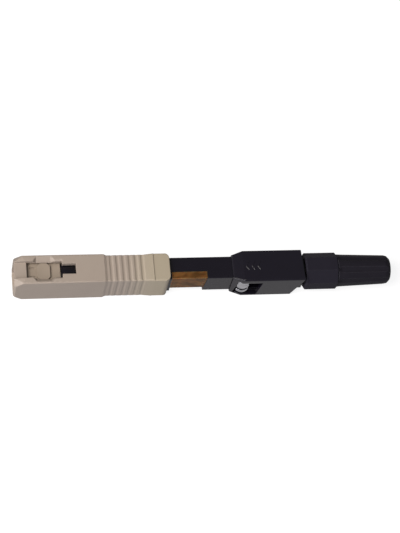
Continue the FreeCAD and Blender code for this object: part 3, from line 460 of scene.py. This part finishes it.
# The near-black of the painted shade in the corners of the nylon parts.
NYLON_PAINTED_SHADE = "#050406"

# A deep black with a cool cast, a tight sheen, and a near-black painted shade where the shell and
# slider start.
neck_plastic = moulded_plastic(
    "glass_filled_black_nylon", base="#120f18", pale="#17141e", rubbed_and_highlit="#3a383f", painted_shade=NYLON_PAINTED_SHADE,
    mottle=0.003, grain=0.00025, grain_height=0.000003, edge=0.00014, roughness=0.25, wear_and_highlight=0.6,
    painted_shade_reach=0.003, painted_shade_amount=1.0, painted_shade_from=0.95,
)
for name in ("backbone", "fibre_guide", "cable_jaw_left", "cable_jaw_right"):
    finish_node(name, neck_plastic)


# ---- splice --------------------------------------------------------------------------------------
# The splice housing is a clear amber resin, moulded glossy so that light shows through it in the
# neck's side window. The grooved base and its two lids inside are the same resin.

AMBER_FLOW = (0.0022, 0.0011, 0.0011)
AMBER_RIPPLE = 0.00002
AMBER_EDGE = 0.00030
WHOLE_AMBER_EDGE = 0.3
AMBER_SHADE_REACH = 0.0016
AMBER_SHADE_FROM = 0.95
AMBER_SHADE_FULL = 0.45
AMBER_SHADE_AMOUNT = 0.85


def amber_resin(name, deep, bright, painted_edge_highlight, shadow, transmission, roughness):
    """Clear amber resin: drawn-out flow in tone, painted highlights on edges, painted shade where it
    goes in.
    """
    material, tree, place = new_material(name)
    flow = add(tree, "ShaderNodeMapping", {},
               {"Vector": place, "Scale": [1 / size for size in AMBER_FLOW]})
    drift = add(tree, "ShaderNodeTexNoise", {},
                {"Vector": flow.outputs["Vector"], "Scale": 1.0, "Detail": 1.0, "Distortion": 0.4})
    spread = add(tree, "ShaderNodeMapRange", {},
                 {"Value": drift.outputs["Fac"], "From Min": 0.35, "From Max": 0.65})
    body = add(tree, "ShaderNodeMix", {"data_type": "RGBA"},
               {"Factor": spread.outputs["Result"],
                FIRST_COLOUR: linear(deep), SECOND_COLOUR: linear(bright)})
    # Painted highlight: the edges are mixed towards a pale glow colour.
    edges, rounded = edge_mask(tree, AMBER_EDGE, WHOLE_AMBER_EDGE)
    edged = add(tree, "ShaderNodeMix", {"data_type": "RGBA"},
                {"Factor": edges,
                 FIRST_COLOUR: body.outputs[MIXED_COLOUR], SECOND_COLOUR: linear(painted_edge_highlight)})
    corner = add(tree, "ShaderNodeAmbientOcclusion", {"samples": 6},
                 {"Distance": AMBER_SHADE_REACH})
    inside = add(tree, "ShaderNodeMapRange", {},
                 {"Value": corner.outputs["AO"], "From Min": AMBER_SHADE_FROM,
                  "From Max": AMBER_SHADE_FULL, "To Min": 0.0, "To Max": AMBER_SHADE_AMOUNT})
    shaded = add(tree, "ShaderNodeMix", {"data_type": "RGBA"},
                 {"Factor": inside.outputs["Result"],
                  FIRST_COLOUR: edged.outputs[MIXED_COLOUR], SECOND_COLOUR: linear(shadow)})
    gloss = add(tree, "ShaderNodeMapRange", {},
                {"Value": drift.outputs["Fac"],
                 "To Min": roughness - 0.04, "To Max": roughness + 0.08})
    relief = add(tree, "ShaderNodeBump", {},
                 {"Height": drift.outputs["Fac"], "Distance": AMBER_RIPPLE, "Strength": 0.3,
                  "Normal": rounded})
    shader = add(tree, "ShaderNodeBsdfPrincipled", {},
                 {"Base Color": shaded.outputs[MIXED_COLOUR],
                  "Roughness": gloss.outputs["Result"], "Normal": relief.outputs["Normal"],
                  "Transmission Weight": transmission, "IOR": 1.6, "Specular IOR Level": 0.1,
                  "Subsurface Weight": 0.3, "Subsurface Scale": 0.0006})
    add(tree, "ShaderNodeOutputMaterial", {}, {"Surface": shader.outputs["BSDF"]})
    return material


# A brown with a painted highlight on its edges and painted shade where it goes into the neck.
finish_node("splice_body", amber_resin(
    "clear_amber_resin", deep="#56391c", bright="#7a532c", painted_edge_highlight="#c09a68", shadow="#21170e",
    transmission=0.0, roughness=0.2))

# The same, paler, with some light coming through.
groove_amber = amber_resin(
    "precision_amber_resin", deep="#7a522a", bright="#946636", painted_edge_highlight="#b08654",
    shadow="#3a2816", transmission=0.15, roughness=0.22)
for name in ("groove_base", "groove_lid_front", "groove_lid_rear"):
    finish_node(name, groove_amber)


# ---- locking slider ------------------------------------------------------------------------------
# The sleeve that is pushed forward to lock the splice: black nylon, moulded smoother than the neck.
# Three raised chevrons on its top show which way it goes.

CHEVRON_COUNT = 3
CHEVRON_PITCH = 0.0014
CHEVRON_REACH = 0.0008
CHEVRON_HALF_WIDTH = 0.0012
CHEVRON_BLUNTNESS = 0.004
CHEVRON_STEPS = 33
CHEVRON_RIB = 0.00040
CHEVRON_HEIGHT = 0.00010
CHEVRON_SINK = 0.00008
CHEVRON_SET_BACK = 0.0034
RIDGE_SIDES = 16

# A satin black with a clear edge to its highlights, and painted shade in its corners.
slider_plastic = moulded_plastic(
    "satin_black_nylon", base="#14111b", pale="#1a1722", rubbed_and_highlit="#45434a", painted_shade=NYLON_PAINTED_SHADE,
    mottle=0.004, grain=0.00034, grain_height=0.000002, edge=0.00016, roughness=0.23, wear_and_highlight=0.3,
    painted_shade_reach=0.0016, painted_shade_amount=0.8, level=0.55,
)
finish_node("lock_slider", slider_plastic)


def ridge(name, path, half_width, height, sink):
    """A rounded rib along a path on a level face, as one closed skin.

    Round the rib, a point at angle t lies half_width times cos t to the side and height times
    sin t up; the lower half is sunk by sink. The section is carried square to the path, and
    closes to a point at both ends.
    """
    step = np.gradient(path, axis=0)
    step /= np.linalg.norm(step, axis=1)[:, None]
    upright = np.array((0.0, 0.0, 1.0))
    side = np.cross(step, upright)
    t = np.linspace(0, math.tau, RIDGE_SIDES, endpoint=False)
    across = np.cos(t) * half_width
    up = np.where(np.sin(t) >= 0, np.sin(t) * height, np.sin(t) * sink)
    along = np.linspace(0, 1, len(path))
    swell = np.clip(np.minimum(along, 1 - along) * len(path) / 2, 0, 1) ** 0.5
    return skin(name, path[:, None, :]
                + side[:, None, :] * (across[None, :] * swell[:, None])[..., None]
                + upright * (up[None, :] * swell[:, None])[..., None])


slider_low, slider_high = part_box("lock_slider")
for i in range(CHEVRON_COUNT):
    tip = slider_low.x + CHEVRON_SET_BACK + i * CHEVRON_PITCH
    s = np.linspace(-1, 1, CHEVRON_STEPS)
    # Two straight arms back from the tip, x = reach times sqrt(s squared + bluntness).
    line = np.stack([tip + CHEVRON_REACH * np.sqrt(s ** 2 + CHEVRON_BLUNTNESS),
                     CHEVRON_HALF_WIDTH * s, np.full_like(s, slider_high.z)], axis=1)
    chevron = ridge("slide_chevron_%d" % (i + 1), line, CHEVRON_RIB / 2, CHEVRON_HEIGHT,
                    CHEVRON_SINK)
    chevron.data.materials.append(slider_plastic)
    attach(chevron, "slider")


# ---- detent leaf ---------------------------------------------------------------------------------
# The leaf in the slider's slot that clicks into place on the neck: thin stainless strip, slit into
# two fingers that meet at the root, pressed into ribs and polished, so it flashes in bands.

LEAF_THICKNESS = 0.00018
LEAF_BOW = 0.00057
LEAF_RIB_DEPTH = 0.00020
LEAF_STREAK = 0.0008
SLIT_CENTRE = -0.00200
SLIT_WIDTH = 0.00062
ROOT_LENGTH = 0.0003
LEAF_STEPS = 33
RIB_STEPS = 16
HALF_ROUND_STEPS = 7

leaf_low, leaf_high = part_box("detent_leaf")
slit_low, slit_high = SLIT_CENTRE - SLIT_WIDTH / 2, SLIT_CENTRE + SLIT_WIDTH / 2


def finger(name, start, end, low, high, ribs):
    """An upright strip along X between two heights, bowed out and pressed into ribs.

    Along the leaf, at v from 0 to 1, its middle stands out from the leaf's inner face by the bow
    times sin(pi v). Up the strip, at u from 0 to 1, it stands out further by the rib depth times
    (1 - cos(2 pi n u)) / 2 for n ribs. Front and back lie half a thickness either side of that,
    and half circles close the top and bottom edges.
    """
    r = LEAF_THICKNESS / 2
    u = np.linspace(0, 1, RIB_STEPS * ribs + 1)
    wave = -LEAF_RIB_DEPTH * (1 - np.cos(math.tau * ribs * u)) / 2
    z = low + r + (high - low - 2 * r) * u
    turn = np.linspace(0, math.pi, HALF_ROUND_STEPS)[1:-1]
    y_ring = np.concatenate([wave - r, wave[-1] - r * np.cos(turn), (wave + r)[::-1],
                             wave[0] + r * np.cos(turn)])
    z_ring = np.concatenate([z, z[-1] + r * np.sin(turn), z[::-1], z[0] - r * np.sin(turn)])
    x = np.linspace(start, end, LEAF_STEPS)
    v = (x - leaf_low.x) / (leaf_high.x - leaf_low.x)
    middle = leaf_high.y - r - LEAF_BOW * np.sin(math.pi * v)
    grid = np.stack([np.repeat(x[:, None], len(y_ring), axis=1), middle[:, None] + y_ring,
                     np.repeat(z_ring[None, :], len(x), axis=0)], axis=-1)
    ends = np.repeat(grid[[0, -1]].mean(axis=1, keepdims=True), len(y_ring), axis=1)
    return skin(name, np.concatenate([ends[:1], grid, ends[1:]]))


# Bright steel that mirrors lamp and table in bands. The streaks are coarser than real polishing
# marks, which wouldn't show on so small a piece.
leaf_steel = spring_steel(
    "polished_spring_leaf", light="#f2f2f6", dark="#98989e", roughness=0.13, streak=LEAF_STREAK)
fingers = (
    finger("leaf_upper_finger", leaf_low.x, leaf_high.x, slit_high, leaf_high.z, ribs=2),
    finger("leaf_lower_finger", leaf_low.x, leaf_high.x, leaf_low.z, slit_low, ribs=1),
    finger("leaf_root", leaf_high.x - ROOT_LENGTH, leaf_high.x, slit_low - LEAF_THICKNESS,
           slit_high + LEAF_THICKNESS, ribs=1),
)
for piece in fingers:
    piece.data.materials.append(leaf_steel)
    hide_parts("detent_leaf")
    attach(piece, "slider")


# ---- cap nut and boot ----------------------------------------------------------------------------
# The eight-sided nut is black nylon like the slider, screwed on the neck's thread. The boot behind
# it is moulded in a softer black elastomer, matt, with eight flutes for the fingers' grip.

# A dull black whose edges are rubbed pale, with a painted highlight along the facet crests.
finish_node("cap_nut", moulded_plastic(
    "black_nylon_nut", base="#26242d", pale="#2c2a33", rubbed_and_highlit="#47454d", painted_shade=NYLON_PAINTED_SHADE,
    mottle=0.004, grain=0.00034, grain_height=0.000004, edge=0.00030, roughness=0.5, wear_and_highlight=0.6,
    level=0.06,
))

# A flat, rubbery black that shows its flutes by their pale edges: wear, and a painted highlight
# along the crests.
finish_node("strain_boot", moulded_plastic(
    "matt_black_elastomer", base="#211f26", pale="#28262d", rubbed_and_highlit="#4b4951", painted_shade="#0f0e10",
    mottle=0.003, grain=0.00034, grain_height=0.000006, edge=0.00030, roughness=0.45, wear_and_highlight=0.9,
    level=0.08,
))


# ---- studio --------------------------------------------------------------------------------------
# A table under the connector in a pale surround, a large soft lamp high at the mating end and a
# weaker, lower one in front. Table and surround are near white to the camera and dimmer in
# reflections, so that black faces stay black, and the table keeps the connector's shadow.

FLOOR_HALF = 1.2
FLOOR_GAP = 0.00001
FLOOR_MOTTLE = 0.025
FLOOR_SEEN = 0.85
FLOOR_MIRRORED = 0.26
SKY_LEVEL = 0.12
SKY_MIRRORED = 0.16
SKY_SEEN = 0.92
KEY_LAMP_PLACE = Vector((-0.30, -0.10, 0.44))
FRONT_LAMP_PLACE = Vector((-0.30, -0.38, 0.16))
LAMP_SIZE = 0.30


def by_ray(tree, seen, mirrored, otherwise):
    """One level for the camera's rays, one for those in gloss or clear plastic, one for the rest."""
    rays = add(tree, "ShaderNodeLightPath").outputs
    glints = add(tree, "ShaderNodeMath", {"operation": "MAXIMUM"},
                 {0: rays["Is Glossy Ray"], 1: rays["Is Transmission Ray"]})
    straight = add(tree, "ShaderNodeMath", {"operation": "MULTIPLY_ADD"},
                   {0: rays["Is Camera Ray"], 1: seen - otherwise, 2: otherwise})
    level = add(tree, "ShaderNodeMath", {"operation": "MULTIPLY_ADD"},
                {0: glints.outputs["Value"], 1: mirrored - otherwise,
                 2: straight.outputs["Value"]})
    return level.outputs["Value"]


def white_table(name):
    """Matt paper with a faint mottle, and a lift that only straight and mirrored views see."""
    material, tree, place = new_material(name)
    mottle = add(tree, "ShaderNodeTexNoise", {},
                 {"Vector": place, "Scale": 1 / FLOOR_MOTTLE, "Detail": 2.0})
    paper = add(tree, "ShaderNodeMix", {"data_type": "RGBA"},
                {"Factor": mottle.outputs["Fac"],
                 FIRST_COLOUR: linear("#8c8c8e"), SECOND_COLOUR: linear("#949496")})
    matt = add(tree, "ShaderNodeBsdfDiffuse", {}, {"Color": paper.outputs[MIXED_COLOUR]})
    glow = add(tree, "ShaderNodeEmission", {},
               {"Color": (1, 1, 1, 1), "Strength": by_ray(tree, FLOOR_SEEN, FLOOR_MIRRORED, 0.0)})
    both = add(tree, "ShaderNodeAddShader", {},
               {0: matt.outputs["BSDF"], 1: glow.outputs["Emission"]})
    add(tree, "ShaderNodeOutputMaterial", {}, {"Surface": both.outputs["Shader"]})
    return material


floor_z = cad_bounds[0][2] - FLOOR_GAP
corners = [(x * FLOOR_HALF, y * FLOOR_HALF, floor_z)
           for x, y in ((-1, -1), (1, -1), (1, 1), (-1, 1))]
floor_mesh = bpy.data.meshes.new("table")
floor_mesh.from_pydata(corners, [], [(0, 1, 2, 3)])
# A plain white ground, with nothing on it but the shadow.
floor_mesh.materials.append(white_table("white_table"))
floor = bpy.data.objects.new("table", floor_mesh)
bpy.context.scene.collection.objects.link(floor)

world = bpy.data.worlds.new("surround")
bpy.context.scene.world = world
world.use_nodes = True
world.node_tree.nodes.clear()
sky = add(world.node_tree, "ShaderNodeBackground", {},
          {"Color": linear("#fafaff"),
           "Strength": by_ray(world.node_tree, SKY_SEEN, SKY_MIRRORED, SKY_LEVEL)})
add(world.node_tree, "ShaderNodeOutputWorld", {}, {"Surface": sky.outputs["Background"]})


def soft_lamp(name, place, aim, power, colour):
    """A square lamp at a place, turned to its aim."""
    lamp = bpy.data.lights.new(name, "AREA")
    lamp.size = LAMP_SIZE
    lamp.energy = power
    lamp.color = linear(colour)[:3]
    stand = bpy.data.objects.new(name, lamp)
    towards = (aim - place).to_track_quat("-Z", "Y").to_matrix().to_4x4()
    stand.matrix_world = Matrix.Translation(place) @ towards
    bpy.context.scene.collection.objects.link(stand)


middle = (Vector(cad_bounds[0]) + Vector(cad_bounds[1])) / 2
soft_lamp("key_lamp", middle + KEY_LAMP_PLACE, middle, power=2.55, colour="#fffaf4")
soft_lamp("front_lamp", middle + FRONT_LAMP_PLACE, middle, power=1.2, colour="#f8f9ff")


# ---- camera --------------------------------------------------------------------------------------
# A long lens half a metre away, high on the near side and turned so that the connector lies
# across the upright frame.

VIEW_AZIMUTH = math.radians(-21.8)
VIEW_ELEVATION = math.radians(63.1)
VIEW_ROLL = math.radians(18.4)
VIEW_DISTANCE = 0.48597
LOOK_AT = Vector((0.04427, 0.00190, 0.0))
FOCAL_LENGTH = 135.08

forward = Vector((-math.sin(VIEW_AZIMUTH) * math.cos(VIEW_ELEVATION),
                  math.cos(VIEW_AZIMUTH) * math.cos(VIEW_ELEVATION), -math.sin(VIEW_ELEVATION)))
sideways = Vector((math.cos(VIEW_AZIMUTH), math.sin(VIEW_AZIMUTH), 0))
upright = sideways.cross(forward)
right = math.cos(VIEW_ROLL) * sideways + math.sin(VIEW_ROLL) * upright
up = -math.sin(VIEW_ROLL) * sideways + math.cos(VIEW_ROLL) * upright
lens = bpy.data.cameras.new("camera")
lens.lens = FOCAL_LENGTH
lens.clip_start = 0.01
lens.clip_end = 10
camera = bpy.data.objects.new("camera", lens)
turned = Matrix((right, up, -forward)).transposed().to_4x4()
camera.matrix_world = Matrix.Translation(LOOK_AT - forward * VIEW_DISTANCE) @ turned
bpy.context.scene.collection.objects.link(camera)
bpy.context.scene.camera = camera
bpy.context.scene.view_settings.view_transform = "Standard"
